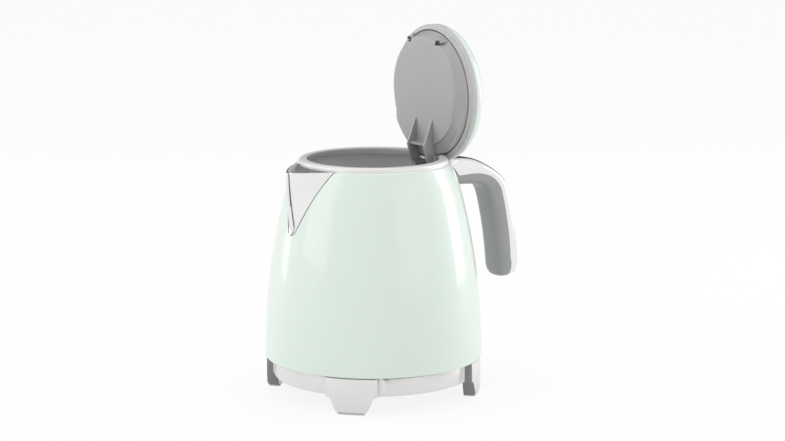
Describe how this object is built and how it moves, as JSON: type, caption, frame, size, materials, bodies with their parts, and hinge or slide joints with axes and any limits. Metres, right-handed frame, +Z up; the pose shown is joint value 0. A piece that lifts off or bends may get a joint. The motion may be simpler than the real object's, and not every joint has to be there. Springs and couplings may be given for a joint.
{
  "type": "cordless kettle",
  "caption": "Rounded cordless kettle with a hinged domed lid, V-shaped spout and loop handle, standing on a four-footed power base.",
  "frame": {"origin": "on the kettle's upright axis, at the surface that the feet stand on", "axes": "+Z up, +X towards the handle, -X towards the spout"},
  "size_m": [0.1967, 0.1524, 0.2558],
  "materials": {
    "paint": "gloss",
    "chrome": "polished",
    "steel": "brushed",
    "silver_plastic": "satin metallic",
    "grey_plastic": "satin",
    "dark_plastic": "matte",
    "light_plastic": "satin",
    "rubber": "matte",
    "silicone": "satin",
    "contact_metal": "polished",
    "aluminium": "plain"
  },
  "bodies": {
    "base": {"base_housing": "silver_plastic", "base_underside_cover": "silver_plastic", "base_connector": "dark_plastic", "base_contacts": "contact_metal", "cord_gland": "dark_plastic", "foot_pads": "rubber", "base_screws": "chrome"},
    "centre_pin": {"connector_pin": "contact_metal"},
    "kettle": {"body_shell": "paint", "rim_ring": "chrome", "spout": "chrome", "filter_guide": "grey_plastic", "heating_plate": "steel", "plate_seal": "silicone", "diffuser_plate": "aluminium", "heating_element": "aluminium", "bimetal_disc": "steel", "control_unit": "light_plastic", "connector_cup": "dark_plastic", "contact_rings": "contact_metal", "chassis_ring": "dark_plastic", "bottom_cover": "dark_plastic", "bottom_screws": "chrome", "steam_tube": "light_plastic", "lever_pin": "steel", "lever_bezel": "dark_plastic", "handle_grip": "grey_plastic", "handle_cover": "chrome", "handle_gasket": "grey_plastic", "handle_bracket": "steel", "handle_screws": "chrome", "hinge_bracket": "grey_plastic", "hinge_pin": "chrome", "hinge_spring": "steel"},
    "switch": {"power_lever": "dark_plastic", "lever_knob": "chrome"},
    "filter": {"filter_frame": "light_plastic", "filter_mesh": "steel"},
    "lid": {"lid_cover": "paint", "lid_trim": "silver_plastic", "lid_liner": "steel", "lid_seal": "rubber", "button_guide": "light_plastic", "button_spring": "steel", "latch_spring": "steel"},
    "button": {"lid_button": "chrome"},
    "latch": {"latch_slider": "grey_plastic"}
  },
  "joints": [
    {"name": "kettle_lift", "type": "slide", "parent": "base", "child": "centre_pin", "axis": [0, 0, 1], "range_m": [0, 0.06]},
    {"name": "kettle_swivel", "type": "hinge", "parent": "centre_pin", "child": "kettle", "pos_m": [0, 0, 0.035], "axis": [0, 0, 1], "continuous": true},
    {"name": "lid_hinge", "type": "hinge", "parent": "kettle", "child": "lid", "pos_m": [0.04624, 0, 0.1601], "axis": [0, 1, 0], "range_deg": [-89, 0], "deforming": ["hinge_spring"]},
    {"name": "lid_button", "type": "slide", "parent": "lid", "child": "button", "axis": [-0.9998, 0, -0.0174], "range_m": [0, 0.003], "stiffness_N_per_m": 600, "springref_m": -0.001, "deforming": ["button_spring"]},
    {"name": "latch_slide", "type": "slide", "parent": "lid", "child": "latch", "axis": [0.0174, 0, -0.9998], "range_m": [0, 0.0035], "deforming": ["latch_spring"]},
    {"name": "power_switch", "type": "hinge", "parent": "kettle", "child": "switch", "pos_m": [0.058, 0, 0.036], "axis": [0, 1, 0], "range_deg": [0, 12]},
    {"name": "filter_slide", "type": "slide", "parent": "kettle", "child": "filter", "axis": [0, 0, 1], "range_m": [0, 0.05]}
  ],
  "couplings": [
    {"joint": "latch_slide", "follows": "lid_button", "ratio": 1.1667}
  ]
}
